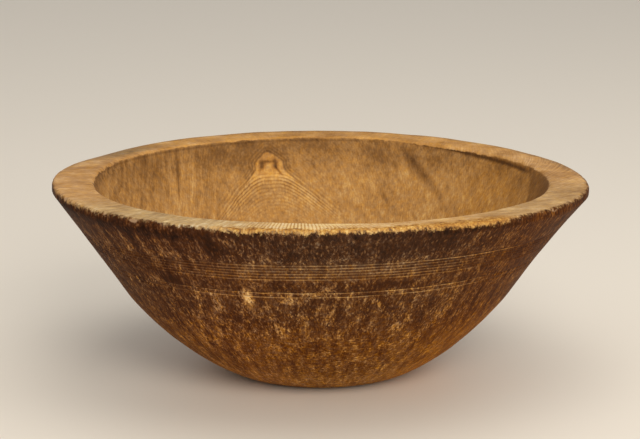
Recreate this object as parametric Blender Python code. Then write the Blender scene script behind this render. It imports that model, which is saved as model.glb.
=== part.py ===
"""A wide carved wooden bowl, cut from a single block of wood.

The bowl is one piece, so the model is one solid: a profile that runs from the middle of the
flat foot, up the round belly and the flared wall, over the flat rim and down the hollow to
the middle of the inside floor.  The profile is spun about the upright axis, and the result is
pulled a little out of true, as a bowl shaped by eye is.  Two bands of incised lines run round
the outside of the wall.

Sizes are in metres, +Z is up and the origin is the middle of the foot, on the table.
"""

import math

import bmesh
import bpy
from mathutils import Vector

# Overall size, across the lip and from the table to the rim
RIM_DIAMETER = 0.400
BOWL_HEIGHT = 0.148

# Flat foot, and how far from upright the belly leaves it
FOOT_DIAMETER = 0.116
FOOT_LEAN = math.radians(85.0)

# Shoulder, the ring where the round belly runs into the straighter flare of the wall
SHOULDER_DIAMETER = 0.294
SHOULDER_HEIGHT = 0.068
SHOULDER_LEAN = math.radians(33.6)
BELLY_FULLNESS = 0.245

# Lip, the short upright edge below the rim, and the lean of the wall that meets it
LIP_HEIGHT = 0.006
LIP_ROUND = 0.0028
FLARE_LEAN = math.radians(37.3)

# Flat rim and its inner edge
RIM_WIDTH = 0.0305
INNER_EDGE_ROUND = 0.0045
INNER_EDGE_LEAN = math.radians(28.5)

# Wood left standing at the shoulder and in the middle of the floor
WALL_THICKNESS = 0.021
FLOOR_THICKNESS = 0.022
HOLLOW_FULLNESS = 0.38
WALL_FULLNESS = 1.0 / 3.0

# Incised lines: drop of each band's first line below the rim, and the cut of one line
UPPER_BAND_DROP = 0.0270
UPPER_LINE_COUNT = 6
UPPER_BAND_GAP = 0.0009
LOWER_BAND_DROP = 0.0496
LOWER_LINE_COUNT = 2
LOWER_BAND_GAP = 0.0020
LINE_WIDTH = 0.0014
LINE_DEPTH = 0.0008

# Hand work: the rim is a little oval and rises and falls as it goes round, and the belly
# stands a little to one side
OVAL = 0.0012
OVAL_ANGLE = math.radians(20.0)
RIM_WAVE = 0.0010
RIM_WAVE_COUNT = 4
RIM_WAVE_ANGLE = math.radians(90.0)
BELLY_SHIFT = -0.0022

# Facets round the bowl and along each stretch of the profile
SEGMENTS = 72
BELLY_STEPS = 8
WALL_STEPS = 5
ROUND_STEPS = 3
HOLLOW_WALL_STEPS = 4
HOLLOW_FLOOR_STEPS = 10

# Points closer than this are one point, and faces that turn more than this meet in a crease
MERGE_DISTANCE = 0.000001
CREASE_ANGLE = math.radians(40.0)

# Wood colour and finish, rubbed dark outside by handling
WOOD_COLOUR = (0.105, 0.058, 0.027, 1.0)
WOOD_ROUGHNESS = 0.5


def direction(lean):
    """Unit step up and outwards in the profile plane, leaning by this angle from upright."""
    return Vector((math.sin(lean), math.cos(lean)))


def sweep(start, start_lean, end, end_lean, fullness, steps):
    """Points of a smooth curve that rises from start to end, with both leans given."""
    handle = fullness * (end - start).length
    start_handle = start + handle * direction(start_lean)
    end_handle = end - handle * direction(end_lean)
    points = []
    for step in range(steps + 1):
        along = step / steps
        back = 1.0 - along
        points.append(
            back ** 3 * start
            + 3.0 * back ** 2 * along * start_handle
            + 3.0 * back * along ** 2 * end_handle
            + along ** 3 * end
        )
    return points


def arc(centre, radius, start_angle, end_angle, steps):
    """Points of a round edge in the profile plane."""
    points = []
    for step in range(steps + 1):
        angle = start_angle + (end_angle - start_angle) * step / steps
        points.append(centre + radius * Vector((math.cos(angle), math.sin(angle))))
    return points


def outer_wall():
    """Outside of the bowl, from the edge of the foot to the bottom of the lip."""
    foot = Vector((FOOT_DIAMETER / 2, 0.0))
    shoulder = Vector((SHOULDER_DIAMETER / 2, SHOULDER_HEIGHT))
    lip = Vector((RIM_DIAMETER / 2, BOWL_HEIGHT - LIP_HEIGHT))
    belly = sweep(foot, FOOT_LEAN, shoulder, SHOULDER_LEAN, BELLY_FULLNESS, BELLY_STEPS)
    flare = sweep(shoulder, SHOULDER_LEAN, lip, FLARE_LEAN, WALL_FULLNESS, WALL_STEPS)
    return belly + flare[1:]


def wall_point(wall, height):
    """Point of the outside wall at a height, and the unit step along the wall there."""
    for low, high in zip(wall, wall[1:]):
        if low.y <= height <= high.y:
            share = (height - low.y) / (high.y - low.y)
            return low.lerp(high, share), (high - low).normalized()
    raise ValueError("no wall at height %.4f" % height)


def band_heights(drop, lines, gap):
    """Heights of the lines of one incised band, from the top line down."""
    pitch = LINE_WIDTH + gap
    return [BOWL_HEIGHT - drop - line * pitch for line in range(lines)]


def incise(wall, heights):
    """The wall with a V-shaped line cut into it at each height."""
    cuts = []
    for height in heights:
        for edge in (height - LINE_WIDTH / 2, height + LINE_WIDTH / 2):
            cuts.append(wall_point(wall, edge)[0])
        middle, along = wall_point(wall, height)
        inwards = Vector((-along.y, along.x))
        cuts.append(middle + LINE_DEPTH * inwards)
    # A wall point inside or close beside a line is left out, so that no sliver facet is made
    reach = LINE_WIDTH
    clear = [
        point for point in wall
        if all(abs(point.y - height) > reach for height in heights)
    ]
    return sorted(clear + cuts, key=lambda point: point.y)


def rim():
    """Upright lip, flat rim and rounded inner edge, from the outside in."""
    rim_radius = RIM_DIAMETER / 2
    lip_centre = Vector((rim_radius - LIP_ROUND, BOWL_HEIGHT - LIP_ROUND))
    outer_edge = arc(lip_centre, LIP_ROUND, 0.0, math.pi / 2, ROUND_STEPS)
    inner_centre = Vector((
        rim_radius - RIM_WIDTH + INNER_EDGE_ROUND * math.cos(INNER_EDGE_LEAN),
        BOWL_HEIGHT - INNER_EDGE_ROUND,
    ))
    inner_edge = arc(
        inner_centre, INNER_EDGE_ROUND, math.pi / 2, math.pi - INNER_EDGE_LEAN, ROUND_STEPS
    )
    return outer_edge + inner_edge


def hollow(inner_edge):
    """Inside of the bowl, from the inner edge of the rim down to the middle of the floor."""
    shoulder = Vector((SHOULDER_DIAMETER / 2, SHOULDER_HEIGHT))
    along = direction(SHOULDER_LEAN)
    inner_shoulder = shoulder + WALL_THICKNESS * Vector((-along.y, along.x))
    floor = Vector((0.0, FLOOR_THICKNESS))
    wall = sweep(
        inner_shoulder, SHOULDER_LEAN, inner_edge, INNER_EDGE_LEAN, WALL_FULLNESS,
        HOLLOW_WALL_STEPS,
    )
    dish = sweep(
        floor, math.pi / 2, inner_shoulder, SHOULDER_LEAN, HOLLOW_FULLNESS,
        HOLLOW_FLOOR_STEPS,
    )
    return wall[-2::-1] + dish[-2::-1]


def bowl_profile():
    """The whole profile as (radius, height) points, from the foot's middle to the floor's."""
    heights = band_heights(UPPER_BAND_DROP, UPPER_LINE_COUNT, UPPER_BAND_GAP)
    heights += band_heights(LOWER_BAND_DROP, LOWER_LINE_COUNT, LOWER_BAND_GAP)
    foot_middle = [Vector((0.0, 0.0))]
    rim_points = rim()
    return foot_middle + incise(outer_wall(), heights) + rim_points + hollow(rim_points[-1])


def spin_profile(bm, profile):
    """Turn the profile into a closed solid about the upright axis."""
    profile_verts = [bm.verts.new((point.x, 0.0, point.y)) for point in profile]
    edges = [bm.edges.new(pair) for pair in zip(profile_verts, profile_verts[1:])]
    bmesh.ops.spin(
        bm,
        geom=profile_verts + edges,
        cent=(0.0, 0.0, 0.0),
        axis=(0.0, 0.0, 1.0),
        angle=math.tau,
        steps=SEGMENTS,
        use_merge=True,
    )
    # The two ends of the profile lie on the axis, where each has a point for every step
    bmesh.ops.remove_doubles(bm, verts=bm.verts, dist=MERGE_DISTANCE)
    bmesh.ops.recalc_face_normals(bm, faces=bm.faces)


def pull_out_of_true(bm):
    """Make the bowl slightly oval, its rim wavy and its belly off centre, on a flat foot."""
    for vert in bm.verts:
        x, y, height = vert.co
        angle = math.atan2(y, x)
        share = height / BOWL_HEIGHT
        reach = math.hypot(x, y) / (RIM_DIAMETER / 2)
        oval = OVAL * share * reach * math.cos(2.0 * (angle - OVAL_ANGLE))
        wave = RIM_WAVE * share ** 2 * reach ** 2
        vert.co.x += oval * math.cos(angle) + BELLY_SHIFT * math.sin(math.pi * share)
        vert.co.y += oval * math.sin(angle)
        vert.co.z += wave * math.cos(RIM_WAVE_COUNT * (angle - RIM_WAVE_ANGLE))


def wood_material():
    """Dark handled wood."""
    material = bpy.data.materials.new("dark_wood")
    material.use_nodes = True
    shader = material.node_tree.nodes["Principled BSDF"]
    shader.inputs["Base Color"].default_value = WOOD_COLOUR
    shader.inputs["Roughness"].default_value = WOOD_ROUGHNESS
    shader.inputs["Metallic"].default_value = 0.0
    return material


def make_bowl():
    """The carved bowl as one named object."""
    mesh = bpy.data.meshes.new("carved_bowl")
    bm = bmesh.new()
    spin_profile(bm, bowl_profile())
    pull_out_of_true(bm)
    bm.to_mesh(mesh)
    bm.free()
    mesh.materials.append(wood_material())
    mesh.shade_smooth()
    mesh.set_sharp_from_angle(angle=CREASE_ANGLE)
    bowl = bpy.data.objects.new("carved_bowl", mesh)
    bpy.context.scene.collection.objects.link(bowl)
    return bowl


for old_object in list(bpy.data.objects):
    bpy.data.objects.remove(old_object)
make_bowl()
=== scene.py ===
# %% [markdown]
# # A carved wooden bowl
#
# The bowl was hollowed from one block of hardwood.  Years of handling left the outside almost
# black, with golden wood showing through wherever the dark skin has worn, while the broad rim
# and the hollow stay golden brown.  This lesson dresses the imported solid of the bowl: it spins
# a fine mesh with Geometry Nodes, carves the hand work into it, and writes its wood as a
# procedural material.  The solid itself is loaded first, because it fixes the place and size of
# everything that follows.

# %% Load the solid bowl
import math

import bpy
import numpy as np
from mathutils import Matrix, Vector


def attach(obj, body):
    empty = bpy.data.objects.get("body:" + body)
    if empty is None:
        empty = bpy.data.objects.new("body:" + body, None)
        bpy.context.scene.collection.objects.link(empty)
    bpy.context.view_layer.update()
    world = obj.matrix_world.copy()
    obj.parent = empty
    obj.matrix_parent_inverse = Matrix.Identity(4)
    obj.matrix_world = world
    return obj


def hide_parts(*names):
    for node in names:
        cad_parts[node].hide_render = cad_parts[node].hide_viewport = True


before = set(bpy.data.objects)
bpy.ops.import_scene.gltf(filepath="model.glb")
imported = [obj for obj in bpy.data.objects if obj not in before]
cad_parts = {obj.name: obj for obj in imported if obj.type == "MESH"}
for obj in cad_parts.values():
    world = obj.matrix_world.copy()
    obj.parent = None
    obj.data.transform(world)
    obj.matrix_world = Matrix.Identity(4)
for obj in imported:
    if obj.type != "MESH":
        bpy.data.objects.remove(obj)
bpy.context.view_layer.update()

# %% [markdown]
# ## Camera, floor and light
#
# The camera stands about 1.6 m away and 0.3 m above the rim, and looks slightly down, so that
# the far inside wall shows above the near rim.  The floor is plain and pale.  One broad soft
# light hangs overhead, a second stands in front and to the right, and a dim sky fills the
# shadows, which is how such an object is usually photographed.

# %% Camera
CAMERA_PLACE = (-0.0007, -1.6, 0.4522)
CAMERA_TILT = math.radians(78.083)
CAMERA_LENS = 121.59
SENSOR_WIDTH = 36.0

scene = bpy.context.scene
camera_data = bpy.data.cameras.new("camera")
camera_data.lens = CAMERA_LENS
camera_data.sensor_width = SENSOR_WIDTH
camera = bpy.data.objects.new("camera", camera_data)
camera.location = CAMERA_PLACE
camera.rotation_euler = (CAMERA_TILT, 0.0, 0.0)
scene.collection.objects.link(camera)
scene.camera = camera
scene.view_settings.view_transform = "Standard"
print("camera", CAMERA_PLACE, "lens", CAMERA_LENS, "mm")

# %% Floor
FLOOR_HALF = 6.0
FLOOR_COLOUR = (0.82, 0.75, 0.65, 1.0)
FLOOR_ROUGHNESS = 0.55

floor_mesh = bpy.data.meshes.new("floor")
corners = [(-1, -1), (1, -1), (1, 1), (-1, 1)]
floor_points = [(FLOOR_HALF * a, FLOOR_HALF * b, 0.0) for a, b in corners]
floor_mesh.from_pydata(floor_points, [], [(0, 1, 2, 3)])
floor = bpy.data.objects.new("floor", floor_mesh)
scene.collection.objects.link(floor)
floor_paint = bpy.data.materials.new("pale_floor")
floor_paint.use_nodes = True
floor_shader = floor_paint.node_tree.nodes["Principled BSDF"]
floor_shader.inputs["Base Color"].default_value = FLOOR_COLOUR
floor_shader.inputs["Roughness"].default_value = FLOOR_ROUGHNESS
floor_mesh.materials.append(floor_paint)
print("floor", 2 * FLOOR_HALF, "m square")

# %% Lights
WARM_WHITE = (1.0, 0.96, 0.90)
SKY_COLOUR = (1.0, 0.98, 0.95, 1.0)
SKY_STRENGTH = 0.55


def soft_light(name, place, aim, side, power, colour):
    """A square area light at a place, turned to shine at a point."""
    data = bpy.data.lights.new(name, "AREA")
    data.shape = "SQUARE"
    data.size = side
    data.energy = power
    data.color = colour
    light = bpy.data.objects.new(name, data)
    light.location = place
    shine = (aim[0] - place[0], aim[1] - place[1], aim[2] - place[2])
    light.rotation_euler = Vector(shine).to_track_quat("-Z", "Y").to_euler()
    scene.collection.objects.link(light)


soft_light("overhead", (0.4, -0.1, 2.2), (0.0, 0.0, 0.1), 2.0, 16.0, WARM_WHITE)
soft_light("front_key", (0.7, -2.3, 1.3), (0.0, 0.0, 0.08), 1.4, 46.0, WARM_WHITE)
world = bpy.data.worlds.new("studio")
world.use_nodes = True
sky = world.node_tree.nodes["Background"]
sky.inputs["Color"].default_value = SKY_COLOUR
sky.inputs["Strength"].default_value = SKY_STRENGTH
scene.world = world

# %% [markdown]
# ## A pen for node trees
#
# Both the mesh and the wood are written as node trees.  Placing nodes one by one hides the sums
# behind the wiring, so a small class wraps one socket: adding, multiplying or comparing two of
# them adds the Math node that does it, and every other node comes from its `node` method.

# %% The pen
HILL_BASE = 2.718


class Pen:
    """One socket of a node tree; arithmetic on it adds Math nodes to that tree."""

    def __init__(self, tree, socket=None):
        self.tree = tree
        self.socket = socket

    def node(self, kind, settings=None, sockets=None, out=0):
        """Add a node: its settings first, then the values or links of its sockets."""
        made = self.tree.nodes.new(kind)
        for name, value in (settings or {}).items():
            setattr(made, name, value)
        for key, value in (sockets or {}).items():
            if isinstance(value, Pen):
                self.tree.links.new(value.socket, made.inputs[key])
            else:
                made.inputs[key].default_value = value
        return Pen(self.tree, made.outputs[out])

    def math(self, operation, *values):
        """Add a Math node that works on these values."""
        return self.node("ShaderNodeMath", {"operation": operation}, dict(enumerate(values)))

    def __add__(self, other):
        return self.math("ADD", self, other)

    def __radd__(self, other):
        return self.math("ADD", other, self)

    def __sub__(self, other):
        return self.math("SUBTRACT", self, other)

    def __rsub__(self, other):
        return self.math("SUBTRACT", other, self)

    def __mul__(self, other):
        return self.math("MULTIPLY", self, other)

    def __rmul__(self, other):
        return self.math("MULTIPLY", other, self)

    def __truediv__(self, other):
        return self.math("DIVIDE", self, other)

    def __rtruediv__(self, other):
        return self.math("DIVIDE", other, self)

    def __pow__(self, other):
        return self.math("POWER", self, other)

    def __rpow__(self, other):
        return self.math("POWER", other, self)

    def __neg__(self):
        return self.math("MULTIPLY", self, -1.0)

    def sine(self):
        return self.math("SINE", self)

    def cosine(self):
        return self.math("COSINE", self)

    def size(self):
        return self.math("ABSOLUTE", self)

    def most(self, other):
        return self.math("MAXIMUM", self, other)

    def rise(self, low, high):
        """0 below low, 1 above high and a smooth step between; low may be above high.

        A smooth step never leaves 0 to 1, so the node needs no clamp.
        """
        settings = {"interpolation_type": "SMOOTHSTEP", "clamp": False}
        sockets = {"Value": self, "From Min": low, "From Max": high, "To Min": 0.0, "To Max": 1.0}
        return self.node("ShaderNodeMapRange", settings, sockets)

    def bump(self, middle, reach):
        """A soft hill: 1 at the middle, near 0 two reaches away."""
        share = (self - middle) / reach
        return HILL_BASE ** (-(share * share))

    def vector(self, x, y, z):
        return self.node("ShaderNodeCombineXYZ", {}, {"X": x, "Y": y, "Z": z})

    def parts(self):
        """The x, y and z of a vector."""
        made = self.node("ShaderNodeSeparateXYZ", {}, {0: self})
        return [Pen(self.tree, socket) for socket in made.socket.node.outputs]

    def noise(self, scale, detail=2.0, rough=0.5, seed=0.0):
        """Cloudy values about 0.5, with this vector as their place."""
        sockets = {"Vector": self, "W": seed, "Scale": scale, "Detail": detail, "Roughness": rough}
        return self.node("ShaderNodeTexNoise", {"noise_dimensions": "4D"}, sockets)

    def blend(self, first, second):
        """The first colour where this is 0 and the second where it is 1."""
        settings = {"data_type": "RGBA", "clamp_factor": True}
        return self.node("ShaderNodeMix", settings, {0: self, 6: first, 7: second}, out=2)

    def tint(self, red, green, blue):
        """This colour with each of its channels multiplied."""
        shares = self.vector(red, green, blue)
        return self.node("ShaderNodeVectorMath", {"operation": "MULTIPLY"}, {0: self, 1: shares})

    def ramp(self, stops):
        """The colour at this place along a list of (place, colour) stops."""
        made = self.node("ShaderNodeValToRGB", {}, {0: self})
        elements = made.socket.node.color_ramp.elements
        while len(elements) < len(stops):
            elements.new(1.0)
        for element, (place, colour) in zip(elements, stops):
            element.position = place
            element.color = colour
        return made


print("pen ready")

# %% [markdown]
# ## The profile
#
# A bowl shaped by eye still follows one rule: a profile carried round an axis.  Half of the
# section is drawn here, from the middle of the foot, up the belly and the wall, over the rim
# and down to the middle of the floor.  The stretches are smooth sweeps and small arcs, and the
# rows are closest where the shape turns sharply and where the incised lines are cut.

# %% Sizes of the bowl, in metres
RIM_RADIUS = 0.200
BOWL_HEIGHT = 0.148
FOOT_RADIUS = 0.058
FOOT_LEAN = math.radians(85.0)
SHOULDER = (0.147, 0.068)
SHOULDER_LEAN = math.radians(33.6)
FLARE_LEAN = math.radians(37.3)
LIP_HEIGHT = 0.006
LIP_ROUND = 0.0028
RIM_WIDTH = 0.0305
INNER_EDGE_ROUND = 0.0045
INNER_EDGE_LEAN = math.radians(28.5)
WALL_THICKNESS = 0.021
FLOOR_THICKNESS = 0.022
BELLY_FULLNESS = 0.245
HOLLOW_FULLNESS = 0.38
WALL_FULLNESS = 1.0 / 3.0
print("bowl", 2 * RIM_RADIUS, "m across the lip and", BOWL_HEIGHT, "m tall")

# %% Stretches of the profile
FINE_POINTS = 400


def lean_step(lean):
    """A unit step up and outwards, leaning by this angle from upright."""
    return np.array([math.sin(lean), math.cos(lean)])


def sweep(start, start_lean, end, end_lean, fullness):
    """A smooth curve that rises from start to end with both leans given, finely drawn."""
    start, end = np.array(start), np.array(end)
    handle = fullness * np.linalg.norm(end - start)
    first = start + handle * lean_step(start_lean)
    second = end - handle * lean_step(end_lean)
    along = np.linspace(0.0, 1.0, FINE_POINTS)[:, None]
    back = 1.0 - along
    curve = back ** 3 * start + 3 * back ** 2 * along * first
    return curve + 3 * back * along ** 2 * second + along ** 3 * end


def arc(centre, radius, start_angle, end_angle):
    """A round edge, finely drawn."""
    turn = np.linspace(start_angle, end_angle, FINE_POINTS)
    return np.array(centre) + radius * np.stack([np.cos(turn), np.sin(turn)], 1)


def distances(points):
    """How far along a finely drawn stretch each of its points lies."""
    return np.concatenate([[0.0], np.cumsum(np.linalg.norm(np.diff(points, axis=0), axis=1))])


def rows_at(points, places):
    """Points of a stretch at these distances along it."""
    lengths = distances(points)
    return np.stack([np.interp(places, lengths, points[:, side]) for side in (0, 1)], 1)


def even_places(points, step):
    """Places about one step apart along a stretch, with its far end left to the next one."""
    total = distances(points)[-1]
    return np.linspace(0.0, total, max(2, round(total / step) + 1))[:-1]


foot = np.array([[0.0, 0.0], [FOOT_RADIUS, 0.0]])
belly = sweep(foot[1], FOOT_LEAN, SHOULDER, SHOULDER_LEAN, BELLY_FULLNESS)
wall_top = (RIM_RADIUS, BOWL_HEIGHT - LIP_HEIGHT)
wall = sweep(SHOULDER, SHOULDER_LEAN, wall_top, FLARE_LEAN, WALL_FULLNESS)
lip = np.array([wall[-1], (RIM_RADIUS, BOWL_HEIGHT - LIP_ROUND)])
lip_edge = arc((RIM_RADIUS - LIP_ROUND, BOWL_HEIGHT - LIP_ROUND), LIP_ROUND, 0.0, math.pi / 2)
inner_radius = RIM_RADIUS - RIM_WIDTH
inner_edge = arc(
    (inner_radius + INNER_EDGE_ROUND * math.cos(INNER_EDGE_LEAN), BOWL_HEIGHT - INNER_EDGE_ROUND),
    INNER_EDGE_ROUND, math.pi / 2, math.pi - INNER_EDGE_LEAN,
)
rim = np.array([lip_edge[-1], inner_edge[0]])
inwards = np.array([-math.cos(SHOULDER_LEAN), math.sin(SHOULDER_LEAN)])
inner_shoulder = np.array(SHOULDER) + WALL_THICKNESS * inwards
inner_wall = sweep(
    inner_shoulder, SHOULDER_LEAN, inner_edge[-1], INNER_EDGE_LEAN, WALL_FULLNESS
)[::-1]
floor_middle = (0.0, FLOOR_THICKNESS)
dish = sweep(floor_middle, math.pi / 2, inner_shoulder, SHOULDER_LEAN, HOLLOW_FULLNESS)[::-1]
print("wall", round(distances(wall)[-1], 4), "m, rim", round(distances(rim)[-1], 4), "m")

# %% [markdown]
# ## Incised lines
#
# Two bands of lines were scored round the outside by hand, with a pointed tool: six close lines
# above, two below.  Each line is three rows of the profile, two edges and a bottom, so that it is
# real geometry and catches the light from every side.

# %% Places of the lines along the wall
UPPER_BAND_DROP = 0.0270
LOWER_BAND_DROP = 0.0496
UPPER_PITCH = 0.0023
LOWER_PITCH = 0.0034
LINE_WIDTH = 0.0014
WALL_STEP = 0.0030
UPPER_LINES = [UPPER_BAND_DROP + UPPER_PITCH * line for line in range(6)]
LOWER_LINES = [LOWER_BAND_DROP + LOWER_PITCH * line for line in range(2)]

line_heights = [BOWL_HEIGHT - drop for drop in LOWER_LINES[::-1] + UPPER_LINES[::-1]]
line_places = np.interp(line_heights, wall[:, 1], distances(wall))
half_width = 0.5 * LINE_WIDTH / math.cos(SHOULDER_LEAN)
plain_places = [
    place for place in even_places(wall, WALL_STEP)
    if np.abs(line_places - place).min() > 2.0 * half_width
]
wall_places = [(place, 0.0) for place in plain_places]
for place in line_places:
    wall_places += [(place - half_width, 0.0), (place, 1.0), (place + half_width, 0.0)]
wall_places.sort()
print(len(line_places), "lines,", len(wall_places), "rows on the wall")

# %% Rows of the whole profile
ROW_STEPS = {"foot": 0.009, "belly": 0.0036, "lip": 0.0012, "edge": 0.0009, "rim": 0.0026,
             "inner edge": 0.0011, "hollow": 0.0032, "dish": 0.0058}
WALL_STRETCH = 2
FOLLOW_START = 0.02
FOLLOW_END = 0.012


def even_rows(points, name):
    """Rows of a stretch, as far apart as the step of that name says."""
    return rows_at(points, even_places(points, ROW_STEPS[name]))


dish_places = np.append(even_places(dish, ROW_STEPS["dish"]), distances(dish)[-1])
stretches = [
    even_rows(foot, "foot"),
    even_rows(belly, "belly"),
    rows_at(wall, [place for place, cut in wall_places]),
    even_rows(lip, "lip"),
    even_rows(lip_edge, "edge"),
    even_rows(rim, "rim"),
    even_rows(inner_edge, "inner edge"),
    even_rows(inner_wall, "hollow"),
    rows_at(dish, dish_places),
]
profile = np.concatenate(stretches)
runs = distances(profile)
first_rows = np.cumsum([0] + [len(rows) for rows in stretches])
cuts = np.zeros(len(profile))
cuts[first_rows[WALL_STRETCH]:first_rows[WALL_STRETCH + 1]] = [cut for place, cut in wall_places]
RUN_WALL, RUN_LIP, RUN_EDGE, RUN_RIM, RUN_INNER, RUN_HOLLOW = (
    float(runs[first_rows[part]]) for part in range(WALL_STRETCH, WALL_STRETCH + 6)
)
# Rows of the wall follow the tilt of the bands, and those at its two ends stay in place
follow_runs = [RUN_WALL, RUN_WALL + FOLLOW_START, RUN_LIP - FOLLOW_END, RUN_LIP]
follow = np.interp(runs, follow_runs, [0.0, 1.0, 1.0, 0.0])
print(len(profile), "rows; rim starts at", round(RUN_RIM, 4), "m along the profile")

# %% [markdown]
# ## Spinning and carving the bowl
#
# A lathe would carry the profile round the axis; so does this tree.  It lays a flat grid with
# one row for each profile point, looks up each row's place on the profile, and wraps the grid
# round the axis.  The hand work is then pushed into the surface by fields: the rim's oval and
# waves, soft tool marks, chips along the near lip, a slope worn into the rim, an undercut below
# the far inner edge, the scored lines, and the inner edge of the near rim, which lies lower.

# %% Profile object with its attributes
def profile_object():
    """The profile as a string of edges that carries each row's run, cut and follow values."""
    mesh = bpy.data.meshes.new("profile")
    points = [(radius, 0.0, height) for radius, height in profile]
    mesh.from_pydata(points, [(row, row + 1) for row in range(len(points) - 1)], [])
    for name, values in (("run", runs), ("cut", cuts), ("follow", follow)):
        layer = mesh.attributes.new(name, "FLOAT", "POINT")
        layer.data.foreach_set("value", values.astype(np.float32))
    made = bpy.data.objects.new("profile", mesh)
    scene.collection.objects.link(made)
    return made


spun = profile_object()
print("profile object with", [layer.name for layer in spun.data.attributes])

# %% The spinning tree and its inputs
SPIN_INPUTS = [
    ("Columns", "NodeSocketInt", 640),
    ("Band tilt", "NodeSocketFloat", 0.0022),
    ("Band shift", "NodeSocketFloat", -0.0015),
    ("Line wander", "NodeSocketFloat", 0.0004),
    ("Line depth", "NodeSocketFloat", 0.0008),
    ("Oval", "NodeSocketFloat", 0.0012),
    ("Rim tilt", "NodeSocketFloat", -0.0013),
    ("Rim saddle", "NodeSocketFloat", 0.0013),
    ("Rim twist", "NodeSocketFloat", -0.0005),
    ("Rim ripple", "NodeSocketFloat", 0.0005),
    ("Rim wave", "NodeSocketFloat", 0.0003),
    ("Inner drop", "NodeSocketFloat", 0.0007),
    ("Inner dip", "NodeSocketFloat", 0.0012),
    ("Belly shift", "NodeSocketFloat", -0.0022),
    ("Tool marks", "NodeSocketFloat", 0.0007),
    ("Chip depth", "NodeSocketFloat", 0.0014),
    ("Worn slope", "NodeSocketFloat", 0.0020),
    ("Undercut", "NodeSocketFloat", 0.0016),
    ("Seed", "NodeSocketFloat", 4.0),
    ("Wood", "NodeSocketMaterial", None),
]


def new_tree():
    """An empty geometry tree with the named inputs, and a pen for each input."""
    tree = bpy.data.node_groups.new("spin_and_carve", "GeometryNodeTree")
    tree.interface.new_socket("Geometry", in_out="INPUT", socket_type="NodeSocketGeometry")
    for name, kind, value in SPIN_INPUTS:
        socket = tree.interface.new_socket(name, in_out="INPUT", socket_type=kind)
        if value is not None:
            socket.default_value = value
    tree.interface.new_socket("Geometry", in_out="OUTPUT", socket_type="NodeSocketGeometry")
    entry = tree.nodes.new("NodeGroupInput")
    return tree, {socket.name: Pen(tree, socket) for socket in entry.outputs if socket.name}


print("inputs", [name for name, kind, value in SPIN_INPUTS])

# %% Spin the profile
WANDER_TURNS = 9.0
WANDER_RISE = 300.0
MERGE_DISTANCE = 0.000005


def spin(pen, given):
    """Wrap a grid round the axis, one row for each profile point."""
    sockets = {0: given["Geometry"]}
    rows = pen.node("GeometryNodeAttributeDomainSize", {"component": "MESH"}, sockets)
    grid = pen.node(
        "GeometryNodeMeshGrid", {}, {"Vertices X": given["Columns"] + 1.0, "Vertices Y": rows}
    )
    index = pen.node("GeometryNodeInputIndex")
    row = pen.math("MODULO", index, rows)
    turn = pen.math("FLOOR", (index + 0.5) / rows) / given["Columns"] * math.tau

    def looked_up(name):
        value = pen.node("GeometryNodeInputNamedAttribute", {"data_type": "FLOAT"}, {"Name": name})
        sockets = {"Geometry": given["Geometry"], "Value": value, "Index": row}
        return pen.node("GeometryNodeSampleIndex", {"data_type": "FLOAT"}, sockets)

    run = looked_up("run")
    ring = pen.vector(turn.cosine() * WANDER_TURNS, turn.sine() * WANDER_TURNS, run * WANDER_RISE)
    wander = (ring.noise(1.0, 1.0, 0.5, given["Seed"]) - 0.5) * 2.0 * given["Line wander"]
    tilt = turn.cosine() * given["Band tilt"] + given["Band shift"] + wander
    shift = tilt * looked_up("follow")
    curve = pen.node("GeometryNodeMeshToCurve", {}, {0: given["Geometry"]})
    sockets = {"Curves": curve, "Length": run + shift}
    place = pen.node("GeometryNodeSampleCurve", {"mode": "LENGTH"}, sockets, out=1)
    radius, _, height = place.parts()
    around = pen.vector(radius * turn.cosine(), radius * turn.sine(), height)
    wrapped = pen.node("GeometryNodeSetPosition", {}, {"Geometry": grid, "Position": around})
    for name, value in (("run", run), ("groove", looked_up("cut"))):
        sockets = {"Geometry": wrapped, "Name": name, "Value": value}
        wrapped = pen.node("GeometryNodeStoreNamedAttribute", {"data_type": "FLOAT"}, sockets)
    sockets = {"Geometry": wrapped, "Distance": MERGE_DISTANCE}
    return pen.node("GeometryNodeMergeByDistance", {}, sockets)


print("spinning", len(profile), "rows, with points closer than", MERGE_DISTANCE, "m merged")

# %% Carve the hand work
OVAL_ANGLE = math.radians(20.0)
WORN_ANGLE = math.radians(-62.0)
WORN_REACH = math.radians(16.0)
UNDERCUT_RUN = 0.3014
UNDERCUT_REACH = 0.0016


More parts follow.
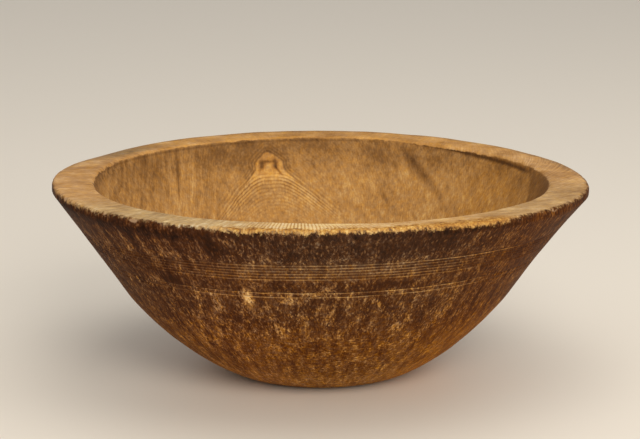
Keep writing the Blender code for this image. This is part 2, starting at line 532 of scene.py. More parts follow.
def carve(pen, given, bowl):
    """Push the hand work into the spun bowl, and keep where the lip is chipped."""
    place = pen.node("GeometryNodeInputPosition")
    normal = pen.node("GeometryNodeInputNormal")
    x, y, z = place.parts()
    nx, ny, nz = normal.parts()
    radius = (x * x + y * y) ** 0.5 + 0.000001
    turn = pen.math("ARCTAN2", y, x)
    run = pen.node("GeometryNodeInputNamedAttribute", {"data_type": "FLOAT"}, {"Name": "run"})
    cut = pen.node("GeometryNodeInputNamedAttribute", {"data_type": "FLOAT"}, {"Name": "groove"})
    seed = given["Seed"]
    share = z / BOWL_HEIGHT
    reach = radius / RIM_RADIUS

    oval = given["Oval"] * share * reach * ((turn - OVAL_ANGLE) * 2.0).cosine()
    back = pen.math("ARCTAN2", x, y)
    wave = given["Rim tilt"] * back.sine() + given["Rim saddle"] * (back * 2.0).cosine()
    wave = wave + given["Rim twist"] * (back * 2.0).sine()
    wave = wave + given["Rim ripple"] * (back * 3.0).sine()
    wave = (wave + given["Rim wave"] * (back * 4.0).cosine()) * share * share * reach * reach
    lean = given["Belly shift"] * (share * math.pi).sine()

    standing = z.rise(0.0005, 0.012)
    marks = (place.noise(22.0, 2.0, 0.5, seed) - 0.5) * 2.0 * given["Tool marks"] * standing

    lip = run.bump(RUN_EDGE + 0.0022, 0.0032)
    chip = place.noise(95.0, 3.0, 0.6, seed + 3.0).rise(0.50, 0.68) * lip * y.rise(0.05, -0.05)
    chips = chip * given["Chip depth"]

    slope = back.bump(WORN_ANGLE, WORN_REACH) * run.rise(RUN_RIM + 0.013, RUN_EDGE)
    slope = slope * (run - RUN_LIP).rise(0.0, 0.002) * given["Worn slope"]
    undercut = run.bump(UNDERCUT_RUN, UNDERCUT_REACH) * back.rise(0.38, 0.60) * back.rise(1.35, 1.20)
    undercut = undercut * given["Undercut"]

    dip = given["Inner dip"] * pen.math("ARCTAN2", x, -y).bump(0.33, 0.35) + given["Inner drop"]
    inside = run.rise(RUN_EDGE + 0.008, RUN_INNER)
    inside = inside * run.rise(RUN_HOLLOW + 0.030, RUN_HOLLOW + 0.004)
    dip = dip * inside * y.rise(0.05, -0.05)

    around = pen.vector(x / radius * 14.0, y / radius * 14.0, run * 160.0)
    scored = cut * given["Line depth"] * around.noise(1.0, 2.0, 0.6, seed + 8.0).rise(0.2, 0.62)

    push = marks - chips - scored - slope - undercut
    offset = pen.vector(
        nx * push + oval * x / radius + lean, ny * push + oval * y / radius, nz * push + wave - dip
    )
    sockets = {"Geometry": bowl, "Name": "chip", "Value": chip}
    bowl = pen.node("GeometryNodeStoreNamedAttribute", {"data_type": "FLOAT"}, sockets)
    return pen.node("GeometryNodeSetPosition", {}, {"Geometry": bowl, "Offset": offset})


print("hand work: worn slope at", round(math.degrees(WORN_ANGLE)), "degrees from the back")

# %% Join the tree
def spin_and_carve():
    """The whole tree, from the profile to the carved bowl with its wood."""
    tree, given = new_tree()
    pen = Pen(tree)
    bowl = carve(pen, given, spin(pen, given))
    bowl = pen.node("GeometryNodeSetShadeSmooth", {}, {"Geometry": bowl})
    bowl = pen.node("GeometryNodeRealizeInstances", {}, {"Geometry": bowl})
    bowl = pen.node("GeometryNodeSetMaterial", {}, {"Geometry": bowl, "Material": given["Wood"]})
    leave = tree.nodes.new("NodeGroupOutput")
    tree.links.new(bowl.socket, leave.inputs[0])
    return tree


carving_tree = spin_and_carve()
print("carving tree", len(carving_tree.nodes), "nodes")

# %% [markdown]
# ## The wood
#
# One material covers the whole bowl, because one block of wood does: what changes is how much
# dark skin is left on it.  The run attribute, the distance along the profile, tells outside, rim
# and hollow apart.  Wear follows the surface, by run and by the angle round the axis, while the
# grain of rim and hollow reads Object coordinates, so that it runs through the wood.  A small
# class keeps the coordinates that every part of the wood reads.

# %% Coordinates on the bowl
MEAN_RADIUS = 0.170


class Surface:
    """Pens for the place on the bowl: Object coordinates, angles and the run along the profile."""

    def __init__(self, tree):
        self.pen = Pen(tree)
        self.place = self.pen.node("ShaderNodeTexCoord", out="Object")
        self.x, self.y, self.z = self.place.parts()
        self.radius = ((self.x * self.x + self.y * self.y) ** 0.5).most(0.0001)
        self.east = self.x / self.radius
        self.north = self.y / self.radius
        self.front = self.pen.math("ARCTAN2", self.x, -self.y)
        self.back = self.pen.math("ARCTAN2", self.x, self.y)
        self.run = self.attribute("run")

    def attribute(self, name):
        """A value that the mesh carries at each point."""
        return self.pen.node("ShaderNodeAttribute", {"attribute_name": name}, out="Fac")

    def streaks(self, width, length, detail, seed, rough=0.55, sway=None):
        """Cloudy strokes down the wall, each about this wide and long, bent sideways by sway."""
        east, north = self.east, self.north
        if sway is not None:
            shift = sway / MEAN_RADIUS
            east, north = east - north * shift, north + east * shift
        turns = MEAN_RADIUS / width
        lie = self.pen.vector(east * turns, north * turns, self.run / length)
        return lie.noise(1.0, detail, rough, seed)

    def threads(self, width, length, seed, thin):
        """Thin bent lines, drawn where cloudy strokes cross their middle value."""
        return (self.streaks(width, length, 1.0, seed, 0.5) - 0.5).size().rise(thin, 0.0)

    def spot(self, angle, degrees, run, width, length):
        """A soft hill about one place: half width round the bowl, half length down the wall."""
        across = (angle - math.radians(degrees)) * (MEAN_RADIUS / width)
        down = (self.run - run) / length
        return HILL_BASE ** -(across * across + down * down)

    def stroke(self, angle, start, end, width):
        """A soft line between two places, each given as degrees and run."""
        start_across = math.radians(start[0]) * MEAN_RADIUS
        step = (math.radians(end[0]) * MEAN_RADIUS - start_across, end[1] - start[1])
        length = math.hypot(*step)
        across = angle * MEAN_RADIUS - start_across
        down = self.run - start[1]
        along = (across * step[0] + down * step[1]) / length
        aside = (across * step[1] - down * step[0]) / (length * width)
        ends = along.rise(0.0, 0.2 * length) * along.rise(length, 0.8 * length)
        return HILL_BASE ** -(aside * aside) * ends

    def spots(self, angle, marks):
        """All soft hills of a list added up, each with its strength."""
        total = 0.0
        for degrees, run, width, length, strength in marks:
            total = self.spot(angle, degrees, run, width, length) * strength + total
        return total

    def strokes(self, angle, marks):
        """All strokes of a list added up, each with its strength."""
        total = 0.0
        for start, end, width, strength in marks:
            total = self.stroke(angle, start, end, width) * strength + total
        return total


print("surface coordinates ready")

# %% [markdown]
# ## Outside: dark skin worn through
#
# Smoke, oil and hands blacken such a bowl, and rubbing opens the skin again along the grain, so
# the golden wood shows as short strokes that run up and down the wall.  One value, wear, says how
# far the skin is gone; a ramp turns it into colour.  Wear adds up from broad stains, fine
# grain, flecks that crowd together in rubbed places, and a few long scratches.  Noise makes what
# is alike everywhere, and the marks that give this bowl its face are listed.  A place is given by
# its angle from the front in degrees and its run.  A rubbed or dark spot then has its half width,
# half length and strength, and a scratch has a second place, its half width and its strength.

# %% Colours of the skin and its placed marks
SKIN_RAMP = [
    (0.00, (0.016, 0.0054, 0.0018, 1.0)),
    (0.24, (0.054, 0.0180, 0.0053, 1.0)),
    (0.32, (0.088, 0.0330, 0.0102, 1.0)),
    (0.40, (0.136, 0.0570, 0.0184, 1.0)),
    (0.54, (0.247, 0.1220, 0.0410, 1.0)),
    (0.66, (0.365, 0.1900, 0.0620, 1.0)),
    (0.85, (0.560, 0.3200, 0.1020, 1.0)),
    (1.00, (0.730, 0.4750, 0.1800, 1.0)),
]
RUBBED = [
    (-18.0, 0.2035, 0.0030, 0.0070, 0.60),
    (-7.2, 0.2025, 0.0070, 0.0060, 0.22),
    (-27.0, 0.1965, 0.0060, 0.0100, 0.22),
    (-31.6, 0.2045, 0.0050, 0.0140, 0.20),
    (-33.0, 0.1500, 0.0060, 0.0150, 0.20),
    (-24.6, 0.1665, 0.0120, 0.0080, 0.14),
    (-11.0, 0.1700, 0.0070, 0.0060, 0.16),
    (1.2, 0.2100, 0.0060, 0.0080, 0.20),
    (21.2, 0.1680, 0.0050, 0.0060, 0.25),
    (41.4, 0.1320, 0.0120, 0.0100, 0.16),
    (-23.0, 0.2540, 0.0060, 0.0110, -0.45),
    (-36.8, 0.2150, 0.0080, 0.0045, -0.40),
    (14.4, 0.2530, 0.0110, 0.0080, -0.25),
    (26.0, 0.2560, 0.0140, 0.0060, -0.25),
    (17.0, 0.2160, 0.0140, 0.0035, -0.25),
]
PATCHES = [
    (-17.6, 0.2018, 0.0033, 0.0100, 0.46),
    (-6.8, 0.2010, 0.0060, 0.0040, 0.14),
    (-11.5, 0.1700, 0.0090, 0.0080, 0.05),
    (-37.5, 0.2150, 0.0090, 0.0045, -0.10),
    (-23.0, 0.2540, 0.0060, 0.0110, -0.08),
    (17.0, 0.2160, 0.0160, 0.0035, -0.06),
    (24.0, 0.2550, 0.0160, 0.0070, -0.06),
]
SCRATCHES = [
    ((-40.4, 0.2555), (-40.6, 0.2370), 0.0007, 0.16),
    ((-32.0, 0.2385), (-35.4, 0.2000), 0.0008, 0.16),
    ((-31.2, 0.2185), (-33.4, 0.1725), 0.0010, 0.18),
    ((-33.8, 0.1815), (-41.6, 0.1240), 0.0016, 0.18),
    ((-14.0, 0.2520), (-14.6, 0.2320), 0.0006, 0.24),
    ((-27.2, 0.2090), (-28.4, 0.1850), 0.0010, 0.16),
]
print(len(RUBBED) + len(PATCHES), "rubbed or dark places,", len(SCRATCHES), "scratches")

# %% Zones of the outside
class Zones:
    """Pens that are 1 in one part of the outside and fade to 0 beyond it."""

    def __init__(self, surface):
        run = surface.run
        front = surface.front
        self.low = run.rise(0.190, 0.135)
        self.foot = run.rise(0.120, 0.090)
        self.under_lip = run.rise(0.238, 0.248)
        self.band = run.rise(0.2200, 0.2225) * run.rise(0.2402, 0.2380)
        self.between = run.rise(0.2085, 0.2110) * run.rise(0.2225, 0.2200)
        self.aside = front.size().rise(0.20, 0.65)
        self.smooth = front.rise(0.35, 0.85) * front.rise(2.4, 1.5)
        self.left = front.bump(-0.75, 0.35)
        self.level = self.low * front.bump(0.12, 0.50)


print("zones of the outside ready")

# %% Stains and grain of the skin
PLAIN_WEAR = 0.295


def skin_wear(surface, zone):
    """Broad stains, fine grain and, towards the sides, long fibres of the dark skin."""
    stains = surface.streaks(0.0080, 0.0260, 2.0, 9.0) - 0.5
    grain = surface.streaks(0.0015, 0.0032, 2.0, 10.0, 0.7) - 0.5
    ripples = surface.streaks(0.0042, 0.0017, 2.0, 23.0, 0.6) - 0.5
    fibres = surface.streaks(0.0022, 0.0300, 2.0, 24.0, 0.6) - 0.5
    trails = surface.streaks(0.0050, 0.0450, 2.0, 27.0, 0.6) - 0.5
    wear = PLAIN_WEAR + stains * 0.34 + fibres * (0.12 + zone.smooth * 0.30 + zone.left * 0.20)
    wear = wear + trails * zone.left * (0.45 + zone.low * 0.30)
    wear = wear + grain * (0.62 - zone.level * 0.30 - zone.band * 0.22)
    wear = wear + ripples * (zone.level * 0.50 + zone.foot * 0.22)
    return wear, grain


print("plain skin starts at wear", PLAIN_WEAR)

# %% Flecks of bare wood
def bare_flecks(surface, zone, rubbed):
    """Bent upright strokes, curls and dots, level smears lower down, and finer ones at the lip."""
    opened = rubbed.rise(-0.05, 0.14)
    sway = (surface.streaks(0.0080, 0.0045, 1.0, 18.0) - 0.5) * 0.0060
    bent = surface.streaks(0.0017, 0.0060, 1.0, 12.0, 0.5, sway)
    upright = (bent + rubbed * 0.35).rise(0.56, 0.66)
    curls = surface.threads(0.0032, 0.0046, 22.0, 0.045) * opened
    dots = (surface.streaks(0.0015, 0.0022, 1.0, 13.0) + rubbed * 0.5).rise(0.58, 0.68)
    smears = (surface.streaks(0.0050, 0.0016, 1.0, 14.0) + rubbed * 0.35).rise(0.56, 0.66)
    flecks = upright * (1.0 - zone.level * 0.8) * 0.22 + curls * 0.12
    flecks = flecks + dots * (0.24 - zone.level * 0.08) + smears * zone.level * 0.25
    flecks = flecks * (0.83 + zone.low * 0.15) * (1.0 - zone.smooth * 0.30)
    flecks = flecks * (1.0 - zone.band * (0.50 - zone.aside * 0.30) - zone.between * 0.20)
    fine = surface.streaks(0.0013, 0.0045, 1.0, 25.0).rise(0.52, 0.66)
    return flecks * (1.0 - zone.under_lip * 0.35) + fine * zone.under_lip * 0.13


print("flecks ready")

# %% Scored lines and the shade below the lip
def scored_lines(surface, zone, wear):
    """The wear with its scored lines: lost towards both sides, the topmost last, clear behind."""
    run = surface.run
    front = surface.front
    line = surface.attribute("groove").rise(0.25, 0.70)
    uneven = surface.streaks(0.0200, 0.0030, 2.0, 15.0).rise(0.38, 0.58)
    longest = run.rise(0.2355, 0.2365) * front.rise(0.95, 0.80)
    lower = run.rise(0.2150, 0.2140)
    kept = front.rise(0.85, 0.40).most(longest).most(lower * front.rise(0.84, 0.62))
    kept = kept * front.rise(-0.88, -0.62)
    kept = kept * (1.0 - front.rise(-0.20, -0.60) * 0.38)
    kept = kept.most(front.size().rise(1.5, 2.1) * 0.8)
    wear = wear + line * kept * (0.13 + uneven * 0.12) * (1.0 + lower * 0.45)
    wear = wear - (1.0 - line) * zone.band * kept * 0.04
    return wear + line * longest * front.rise(0.30, 0.60) * 0.10


def below_lip(surface, wear):
    """The wear with the skin left darkest just below the lip, at the front and at the left."""
    run = surface.run
    front = surface.front
    shade = run.bump(RUN_LIP + 0.0012, 0.0028) * front.rise(-0.40, -0.20) * front.rise(0.9, 0.6)
    shade = shade * (1.0 - front.bump(-0.05, 0.25) * 0.6)
    left_shade = run.bump(RUN_LIP - 0.002, 0.0045) * front.rise(-0.35, -0.55)
    left_shade = left_shade * front.rise(-1.5, -1.2)
    return wear - shade * 0.14 - left_shade * 0.17


print("lines and lip shade ready")

# %% Outside wear and colour
def outside_wear(surface):
    """How far the dark skin is gone, and the fine grain, which also gives the wood its relief."""
    front = surface.front
    zone = Zones(surface)
    wear, grain = skin_wear(surface, zone)

    # Rubbed places, where more of the skin is open
    rubbed = (surface.streaks(0.0080, 0.0120, 2.5, 11.0) - 0.5) * 1.1 + surface.spots(front, RUBBED)
    wear = wear + bare_flecks(surface, zone, rubbed) + rubbed * 0.08
    ragged = (grain * 2.0 + 0.7).rise(0.35, 0.75)
    broken = (grain + 0.5).rise(0.30, 0.55)
    wear = wear + surface.spots(front, PATCHES) * ragged
    wear = wear + surface.strokes(front, SCRATCHES) * broken

    # Darker under the lip and between the bands, lighter in the scored band, and lighter towards the
    # foot, partly the wood and partly painted light bounced up from the floor
    wear = wear + zone.low * (0.10 + zone.smooth * 0.05) + zone.foot * 0.15
    wear = wear - zone.under_lip * 0.075 - zone.between * 0.02
    wear = wear + zone.band * (0.055 - zone.aside * 0.075) + zone.left * 0.015
    wear = scored_lines(surface, zone, wear)
    return below_lip(surface, wear), grain


def outside_colour(surface, wear):
    """The wear as colour: greyer under the near lip, redder at the right, warmer at the foot, partly
    the wood and partly painted warm light bounced up from the floor.
    """
    grey = surface.run.rise(0.220, 0.244) * surface.front.bump(0.1, 0.5)
    # Warmer towards the foot: partly the wood's own colour, partly painted warm light bounced up
    # from the floor
    low = surface.run.rise(0.200, 0.140) * (1.0 - wear.rise(0.42, 0.70) * 0.35)
    side = surface.front.size().rise(0.45, 0.95)
    haze = surface.place.noise(280.0, 3.0, 0.8, 31.0) - 0.5
    right = surface.front.rise(0.40, 0.90) * surface.front.rise(2.2, 1.35)
    left = surface.front.bump(-0.50, 0.30)
    red = 1.0 + right * 0.16 - haze * 0.9 - grey * 0.07 + low * 0.04 + left * 0.04
    green = 1.0 + grey * 0.12 - low * 0.16 - side * 0.06 + right * 0.06 - left * 0.03
    blue = 1.0 + grey * 0.58 - low * 0.54 - side * 0.12 - right * 0.22 + haze * 3.2
    return wear.ramp(SKIN_RAMP).tint(red, green, blue)


print("skin ramp with", len(SKIN_RAMP), "stops")

# %% Worn lip
LIP_RAMP = [
    (0.00, (0.080, 0.026, 0.006, 1.0)),
    (0.30, (0.208, 0.082, 0.018, 1.0)),
    (0.55, (0.376, 0.170, 0.033, 1.0)),
    (0.80, (0.515, 0.282, 0.070, 1.0)),
    (1.00, (0.640, 0.425, 0.150, 1.0)),
]


def lip_parts(surface):
    """Where the dark skin ends, where the worn strip lies on the rim, and the strip's tone."""
    run = surface.run
    front = surface.front
    worn = front.rise(-0.46, -0.28) * front.rise(0.76, 0.66)
    teeth = (surface.streaks(0.0022, 0.0200, 2.0, 16.0, 0.7) - 0.5) * (0.0012 + worn * 0.0010)
    drips = (surface.streaks(0.0085, 0.0300, 2.0, 26.0) - 0.5) * 0.0048
    ragged = (surface.streaks(0.0060, 0.0200, 2.0, 19.0) - 0.5) * 0.0200
    crumbs = surface.place.noise(380.0, 2.0, 0.7, 17.0)
    right = front.rise(0.68, 0.80) * front.rise(2.4, 1.8)
    skin_end = 0.0012 + front.bump(-0.66, 0.22) * 0.0024 + right * 0.0020
    skin_end = skin_end - front.bump(-0.16, 0.20) * 0.0004 - front.bump(0.58, 0.15) * 0.0010
    past = run - RUN_EDGE + teeth + drips + (crumbs - 0.5) * 0.0100
    bare = ((past - skin_end) / 0.0021).rise(-1.0, 1.0)
    reach = 0.0085 - front.bump(-0.08, 0.26) * 0.0030 + front.bump(0.60, 0.12) * 0.0030
    strip = (past + ragged - reach).rise(0.0030, -0.0030) * worn
    tone = 0.54 + (crumbs - 0.5) * (2.4 - front.rise(0.20, 0.50) * 0.7)
    tone = tone + front.bump(0.25, 0.35) * 0.08
    return bare, strip, tone


print("lip ramp with", len(LIP_RAMP), "stops")

# %% [markdown]
# ## Rim: end grain in rays
#
# The flat rim cuts across the fibres.  Fine rays run out over it from a point near the middle,
# golden at the sides; the near edge is paler and greyer, partly polished by hands and cloth and
# partly a painted sheen.

# %% Rim colour
RIM_RAMP = [
    (0.0, (0.150, 0.066, 0.021, 1.0)),
    (0.4, (0.340, 0.165, 0.052, 1.0)),
    (0.7, (0.540, 0.285, 0.098, 1.0)),
    (1.0, (0.760, 0.500, 0.230, 1.0)),
]
RAY_CENTRE = -0.015
RAY_RADIUS = 0.185
STRIPE_WIDTH = 0.0024


def rim_tone(surface):
    """Rays, clouds and specks of the rim, with clear stripes in front and a lighter near part,
    partly polish and partly a painted sheen.
    """
    pen = surface.pen
    out_x = surface.x - RAY_CENTRE
    reach = ((out_x * out_x + surface.y * surface.y) ** 0.5).most(0.001)
    turn = pen.math("ARCTAN2", out_x, -surface.y)
    slant = turn + (reach - RAY_RADIUS) * surface.x.rise(0.06, 0.16) * -8.0
    lie = pen.vector(slant.sine() * 105.0, slant.cosine() * 105.0, reach * 45.0)
    far = surface.y.rise(0.06, 0.15)
    rays = (lie.noise(1.0, 3.0, 0.8, 20.0) - 0.5) * (1.0 - far * 0.6)
    specks = surface.place.noise(260.0, 2.0, 0.8, 22.0) - 0.5
    clouds = surface.place.noise(45.0, 3.0, 0.6, 21.0) - 0.5
    stripes = (turn * (math.tau * RAY_RADIUS / STRIPE_WIDTH)).sine()
    striped = turn.bump(0.0, 0.14)
    tone = 0.58 + rays * 1.2 + clouds * 1.0 + specks * 0.45
    # Clear stripes in front; the near rim is lighter, partly polish and partly a painted sheen
    tone = tone + (stripes * 0.30 + 0.12) * striped + turn.bump(0.20, 0.50) * 0.22
    return tone - far * 0.01 + surface.back.bump(0.72, 0.09) * 0.15


def rim_colour(surface):
    """Rim tone as colour: greyer near, partly polish and partly a painted sheen, on the worn slope
    behind and along the far outer edge.
    """
    front = surface.front
    sides = front.rise(-0.10, -0.45) + front.rise(0.50, 0.85) * 0.6
    # The near rim: partly polished wood, partly a painted sheen
    near = (surface.y - surface.x * 0.25).rise(-0.02, -0.105) * sides
    far = surface.y.rise(0.06, 0.15)
    ragged = (surface.place.noise(90.0, 3.0, 0.6, 23.0) - 0.5) * 0.012
    across = surface.run - RUN_RIM + ragged
    slope = surface.back.bump(math.radians(-57.0), 0.20) * across.rise(0.024, 0.016)
    border = across.rise(0.0065, 0.0020) * surface.y.rise(0.00, 0.08)
    dull = slope.most(border * 0.6)
    haze = surface.place.noise(150.0, 3.0, 0.8, 32.0) - 0.5
    red = 1.0 - near * 0.03 - dull * 0.40 - haze * 0.3
    green = 1.04 + near * 0.17 - dull * 0.33 - far * 0.06 + front.bump(-0.05, 0.25) * 0.05
    blue = 1.12 + near * 0.46 - dull * 0.17 - far * 0.28
    blue = blue - front.bump(0.45, 0.22) * 0.10 + haze * 1.6
    return rim_tone(surface).ramp(RIM_RAMP).tint(red, green, blue)


print("rim rays spread from x", RAY_CENTRE, "m")

# %% [markdown]
# ## Hollow: rings of the tree
#
# Inside, the cut runs slantwise through the growth rings of the tree, whose pith stood just in
# front of the far wall.  Rings round that vertical line give steep lines at the sides and flat
# arches in the middle, and a knot there shows as an eye of nested arches.  At the left the layers
# stand upright, so there the fibre follows flat layers across the bowl and not rings.  Marks are
# listed as on the outside, with their angles in degrees from the back.

# %% Colours of the hollow and its placed marks
HOLLOW_RAMP = [
    (0.0, (0.085, 0.0370, 0.0115, 1.0)),
    (0.35, (0.220, 0.105, 0.0315, 1.0)),
    (0.65, (0.430, 0.222, 0.067, 1.0)),
    (1.0, (0.700, 0.440, 0.155, 1.0)),
]
DARK_STROKES = [
    ((20.5, 0.298), (36.0, 0.3325), 0.0040, 0.26),
    ((34.0, 0.3260), (47.0, 0.3550), 0.0034, 0.17),
    ((16.0, 0.306), (24.0, 0.3230), 0.0032, 0.12),
    ((6.0, 0.347), (18.0, 0.370), 0.0030, 0.10),
    ((17.5, 0.335), (24.0, 0.356), 0.0026, 0.10),
    ((-43.5, 0.302), (-49.8, 0.345), 0.0010, 0.22),
]
RIM_SHADOWS = [
    ((23.0, 0.2980), (46.0, 0.3008), 0.0010, 0.44),
    ((40.0, 0.3006), (75.0, 0.3020), 0.0018, 0.48),
]
# Stains and mottles in the hollow; the broad, faint spots are painted shade towards the left and,
# with negative strength, painted light low in the middle of the far wall
STAIN_AND_SHADING_SPOTS = [
    (-31.4, 0.3060, 0.0110, 0.0075, 0.21),
    (-37.0, 0.3180, 0.0070, 0.0110, 0.14),
    (-36.0, 0.3380, 0.0180, 0.0160, 0.09),
    (-20.8, 0.3005, 0.0090, 0.0050, 0.14),
    (-8.0, 0.3015, 0.0180, 0.0070, 0.14),
    (-1.5, 0.3120, 0.0120, 0.0120, 0.12),
    (-44.0, 0.3000, 0.0060, 0.0060, 0.08),
    (-68.0, 0.3350, 0.0300, 0.0200, 0.08),
    (16.5, 0.3140, 0.0110, 0.0075, 0.15),
    (-24.0, 0.3130, 0.0090, 0.0140, 0.13),
    (34.5, 0.3090, 0.0075, 0.0090, 0.10),
    (27.5, 0.3095, 0.0070, 0.0080, 0.10),
    (32.0, 0.3000, 0.0100, 0.0040, 0.12),
    (59.0, 0.3055, 0.0120, 0.0035, 0.12),
    (0.0, 0.3520, 0.0280, 0.0160, -0.07),
    (36.0, 0.3530, 0.0140, 0.0100, -0.06),
]
print(len(DARK_STROKES) + len(RIM_SHADOWS), "strokes and", len(STAIN_AND_SHADING_SPOTS), "spots in the hollow")

# %% The knot
EYE_DEGREES = -15.6
EYE_RUN = 0.3092
EYE_MARKS = [
    (-5.8, 10.2, 2.1, 4.0, 0.50),
    (5.2, 10.4, 2.4, 4.2, 0.62),
    (-0.4, 7.8, 5.2, 1.2, 0.34),
    (-0.4, 11.0, 2.0, 2.2, -0.10),
]


def knot_eye(surface):
    """Millimetres about the knot: into its bell, along its arches, and across and below its top."""
    sway = (surface.place.noise(110.0, 2.0, 0.5, 6.0) - 0.5) * 3.0
    across = (surface.back - math.radians(EYE_DEGREES)) * surface.radius * 1000.0 + sway
    down = (surface.run - EYE_RUN) * 1000.0 + sway * 0.6
    aside = across.size()
    roof = (down - ((across * across + 6.0) ** 0.5 - 2.4) * 0.85) * 0.76
    bell = roof.math("SMOOTH_MIN", roof, 11.6 - aside, 4.0)
    skirt = (down - 4.0 - aside) * 0.72
    inside = bell.math("SMOOTH_MAX", bell, skirt, 3.0)
    beyond = (aside - 5.0).most(0.0)
    arches = down - 20.0 - ((beyond * beyond + 220.0) ** 0.5 - 14.8) * 1.05
    return inside, arches, across, down


def eye_mark(across, down, mark):
    """A soft dark mark at a place about the knot: half width, half height and strength."""
    middle, depth, width, height, strength = mark
    return across.bump(middle, width) * down.bump(depth, height) * strength


def eye_tone(surface, ring):
    """What the knot adds to the tone of the hollow, and its pale part."""
    inside, arches, across, down = knot_eye(surface)
    near = (inside + 12.0).rise(0.0, 10.0) * down.rise(66.0, 38.0)
    outline = inside.bump(-0.7, 0.8) * down.rise(34.0, 20.0)
    echoes = (inside * (math.tau / 2.5)).sine() * inside.rise(-0.5, -2.0) * down.rise(40.0, 20.0)
    pale = inside.rise(-0.4, 0.8) * down.rise(30.0, 18.0) * (0.80 + down.bump(18.0, 4.0) * 0.4)
    around = inside.rise(-11.0, -4.0) * inside.rise(0.0, -1.0) * down.rise(26.0, 10.0)
    around = around * (0.3 + across.rise(-8.0, 4.0) * 0.7)
    marks = 0.0
    for mark in EYE_MARKS:
        marks = eye_mark(across, down, mark) + marks
    leg = (across - 5.4 - (down - 12.5) * 0.56).bump(0.0, 1.2)
    leg = leg * down.rise(11.0, 13.5) * down.rise(23.0, 18.5)
    thin_leg = (across + 6.4 + (down - 12.5) * 0.40).bump(0.0, 1.5)
    thin_leg = thin_leg * down.rise(10.5, 13.0) * down.rise(21.0, 16.0)
    spread = (0.5 + arches.rise(16.0, 4.0) * 0.7) * (0.6 + across.size().rise(2.0, 14.0) * 0.4)
    furrows = (0.5 - (arches * (math.tau / 3.1)).cosine() * 0.5) ** 2.0
    lines = (0.75 - furrows * 2.0) * arches.rise(-3.0, 0.0) * spread
    legs = (inside * (math.tau / 3.4)).sine() * down.rise(18.0, 24.0) * arches.rise(0.0, -4.0)
    tone = pale * 0.24 - marks - leg * 0.36 - thin_leg * 0.20 + lines * 0.12 + legs * 0.09
    tone = tone + echoes * 0.06 - outline * 0.07 - around * 0.15
    return (tone - 0.02 - ring * 0.03) * near, pale * near


print("knot at", EYE_DEGREES, "degrees from the back")

# %% Rings and grain of the hollow
PITH = (-0.030, 0.115)
RING_WIDTH = 0.00165
WEST_SHIFT = 0.026
HOLLOW_TONE = 0.640


def growth_rings(surface):
    """The rings as a wave, the fibre between them, and 1 at the left, where layers are upright."""
    place = surface.place
    back = surface.back
    away_x = surface.x - PITH[0]
    away_y = surface.y - PITH[1]
    rings_out = (away_x * away_x + away_y * away_y) ** 0.5
    wobble = (place.noise(24.0, 2.0, 0.5, 1.0) - 0.5) * 0.010
    zigzag = (place.noise(190.0, 1.5, 0.5, 2.0) - 0.5) * 0.0020
    ring_place = rings_out + wobble + zigzag
    ring = (ring_place * (math.tau / RING_WIDTH)).sine()
    turn = place.math("ARCTAN2", away_x, away_y)
    west = back.rise(-0.45, -0.80) * back.rise(-2.8, -2.0)
    layer = ring_place - (surface.x + WEST_SHIFT + rings_out) * west
    fibre = place.vector(layer * 320.0, turn * 2.0, surface.z * 22.0).noise(1.0, 3.0, 0.75, 4.0)
    return ring, fibre, west


def hollow_grain(surface):
    """Tone of the plain wood inside, with the ring wave and the specks that its marks read."""
    place = surface.place
    run = surface.run
    back = surface.back
    ring, fibre, west = growth_rings(surface)
    clouds = place.noise(26.0, 4.0, 0.6, 3.0)
    specks = place.noise(240.0, 2.5, 0.8, 5.0)
    dashes = surface.streaks(0.0018, 0.0055, 1.5, 7.0) - 0.5
    lines = surface.streaks(0.0021, 0.0260, 1.5, 8.0) - 0.5
    top = run.rise(0.335, 0.300)
    grained = west.most(surface.y.rise(0.00, -0.08) * 0.8)
    tone = HOLLOW_TONE - back.rise(-0.15, -0.40) * back.rise(-2.8, -2.0) * 0.022 + ring * 0.022
    tone = tone + (fibre - 0.5) * (0.32 + grained * 0.55)
    tone = tone + (specks - 0.5) * 0.56
    tone = tone + dashes * (0.34 - grained * 0.14) + lines * 0.10
    tone = tone - clouds.rise(0.45, 0.75) * 0.12 - top * (0.14 + clouds.rise(0.35, 0.6) * 0.08)
    return tone, ring, specks


print("rings", RING_WIDTH * 1000.0, "mm apart")

# %% Hollow tone and colour
def hollow_tone(surface):
    """Tone of the hollow with its slanting bands, placed marks, painted shadows and painted light,
    and the pale part of the knot.
    """
    place = surface.place
    run = surface.run
    back = surface.back
    tone, ring, specks = hollow_grain(surface)
    across = back * MEAN_RADIUS
    slant = run.vector((across * 0.6 - run * 0.8) / 0.0050, (across * 0.8 + run * 0.6) / 0.050, 0.0)
    bands = (slant.noise(1.0, 2.0, 0.6, 35.0) - 0.5) * back.rise(0.02, 0.30) * back.rise(1.5, 1.1)
    tone = tone + bands * 0.38
    mottled = 0.4 + specks.rise(0.42, 0.58) * 0.9
    # The dark strokes are stains; the spots are stains, with some broad painted shade and painted
    # light among them
    tone = tone - surface.strokes(back, DARK_STROKES) * mottled - surface.spots(back, STAIN_AND_SHADING_SPOTS)
    tone = tone - surface.strokes(back, RIM_SHADOWS)
    tone = tone + (place.noise(85.0, 2.5, 0.65, 34.0) - 0.5) * 0.30

    # A painted shadow darkens the right end, with a sharp slanting side; a painted shadow line lies
    # under the inner edge; and there are blots
    far_end_shadow = (back - (run - 0.303) * 9.0).rise(1.26, 1.31) * back.rise(2.3, 1.8)
    far_end_shadow = far_end_shadow * run.rise(0.350, 0.318)
    under_edge = run.bump(RUN_INNER + 0.0052, 0.0009) * back.rise(-1.9, -1.5) * back.rise(0.4, 0.1)
    blots = specks.rise(0.47, 0.56) * run.bump(RUN_HOLLOW + 0.0035, 0.0045) * back.bump(-1.35, 0.35)
    knot, bell = eye_tone(surface, ring)
    return tone - far_end_shadow * 0.17 - under_edge * 0.14 - blots * 0.28 + knot, bell


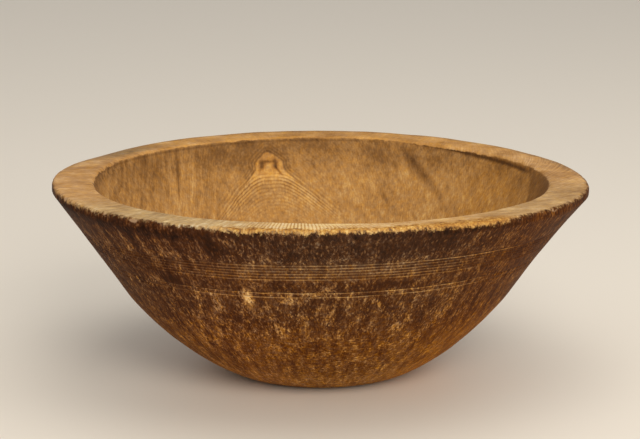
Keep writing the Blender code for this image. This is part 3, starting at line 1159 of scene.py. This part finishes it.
def hollow_colour(surface):
    """The tone of the hollow as colour: here and there greyer, more orange in the knot."""
    haze = surface.place.noise(210.0, 3.0, 0.8, 33.0) - 0.5
    tone, bell = hollow_tone(surface)
    right = surface.back.rise(0.75, 1.0) * surface.back.rise(2.4, 1.9)
    red = 1.0 - haze * 0.4 + bell * 0.03
    blue = 1.0 + haze * 1.4 - bell * 0.24 - right * 0.20
    return tone.ramp(HOLLOW_RAMP).tint(red, 1.0 - bell * 0.06 - right * 0.05, blue)


print("hollow ramp with", len(HOLLOW_RAMP), "stops")

# %% [markdown]
# ## One material
#
# The parts meet along ragged edges: the dark skin ends at the lip, the worn strip lies over it,
# and the colour of the hollow begins on the rounded inner edge.  Each is blended over the one
# before, so the order matters.  A faint relief from the fine grain breaks up the light.

# %% Join the parts into one material
WOOD_ROUGHNESS = 0.62
WOOD_GLOSS = 0.04
RELIEF_STRENGTH = 0.35
RELIEF_DEPTH = 0.0005
NOTCH = (-97.0, 0.3000, 0.0024, 0.0024)
# Colour of a painted highlight along the far inner edge
EDGE_HIGHLIGHT = (0.560, 0.270, 0.065, 1.0)
CHIP_COLOUR = (0.430, 0.270, 0.150, 1.0)
NOTCH_COLOUR = (0.060, 0.050, 0.045, 1.0)


def wood_material():
    """Handled wood for the whole bowl."""
    material = bpy.data.materials.new("handled_wood")
    material.use_nodes = True
    tree = material.node_tree
    tree.nodes.clear()
    surface = Surface(tree)
    pen = surface.pen
    run = surface.run
    back = surface.back

    wear, grain = outside_wear(surface)
    bare, strip, lip_tone = lip_parts(surface)
    edge_noise = surface.place.noise(110.0, 3.0, 0.7, 30.0) - 0.5
    edge_noise = edge_noise * (0.005 + back.bump(-1.35, 0.4) * 0.004)
    chipped = surface.attribute("chip").rise(0.35, 0.75) * surface.front.size().rise(0.45, 0.60)
    inner_run = run + edge_noise - back.bump(-1.69, 0.4) * 0.0025 - back.bump(0.70, 0.28) * 0.0020
    in_hollow = inner_run.rise(RUN_INNER + 0.0026, RUN_INNER + 0.0038)
    # A thin painted highlight along the inner edge, at the left and the back
    edge_highlight = inner_run.bump(RUN_INNER + 0.0024, 0.0011) * back.rise(-1.9, -1.5) * back.rise(0.9, 0.3)
    notch = surface.spot(back, *NOTCH)

    colour = bare.blend(outside_colour(surface, wear), rim_colour(surface))
    colour = (strip * bare).blend(colour, lip_tone.ramp(LIP_RAMP))
    colour = (chipped * 0.7).blend(colour, CHIP_COLOUR)
    colour = (edge_highlight * 0.25).blend(colour, EDGE_HIGHLIGHT)
    colour = in_hollow.blend(colour, hollow_colour(surface))
    colour = notch.rise(0.3, 0.7).blend(colour, NOTCH_COLOUR)

    relief = {"Strength": RELIEF_STRENGTH, "Distance": RELIEF_DEPTH, "Height": grain}
    finish = {
        "Base Color": colour,
        "Roughness": WOOD_ROUGHNESS,
        "Specular IOR Level": WOOD_GLOSS,
        "Normal": pen.node("ShaderNodeBump", {}, relief),
    }
    shader = pen.node("ShaderNodeBsdfPrincipled", {}, finish)
    leave = tree.nodes.new("ShaderNodeOutputMaterial")
    tree.links.new(shader.socket, leave.inputs["Surface"])
    return material


wood = wood_material()
print("wood", len(wood.node_tree.nodes), "nodes")

# %% [markdown]
# ## The finished mesh
#
# A modifier would be worked out again at every look, so the tree is run once and its result is
# kept as a plain mesh with its run, groove and chip values, which the wood reads.

# %% Make the bowl a plain mesh
def plain_mesh(source, tree, material, name):
    """Run the tree on the source object and keep the result as one plain mesh object."""
    modifier = source.modifiers.new("carving", "NODES")
    modifier.node_group = tree
    inputs = [item for item in tree.interface.items_tree if item.in_out == "INPUT"]
    sockets = {item.name: item.identifier for item in inputs}
    modifier[sockets["Wood"]] = material
    depsgraph = bpy.context.evaluated_depsgraph_get()
    mesh = bpy.data.meshes.new_from_object(
        source.evaluated_get(depsgraph), preserve_all_data_layers=True, depsgraph=depsgraph
    )
    mesh.name = name
    source.modifiers.remove(modifier)
    bpy.data.objects.remove(source)
    made = bpy.data.objects.new(name, mesh)
    scene.collection.objects.link(made)
    return made


bowl = plain_mesh(spun, carving_tree, wood, "bowl")
triangles = sum(len(face.vertices) - 2 for face in bowl.data.polygons)
print("bowl", len(bowl.data.vertices), "points,", triangles, "triangles")

# %% [markdown]
# ## Handing the bowl to the frame
#
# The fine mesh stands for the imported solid, which stays hidden behind it for collision.

# %% Ride, replace and finish
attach(bowl, "root")
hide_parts("carved_bowl")
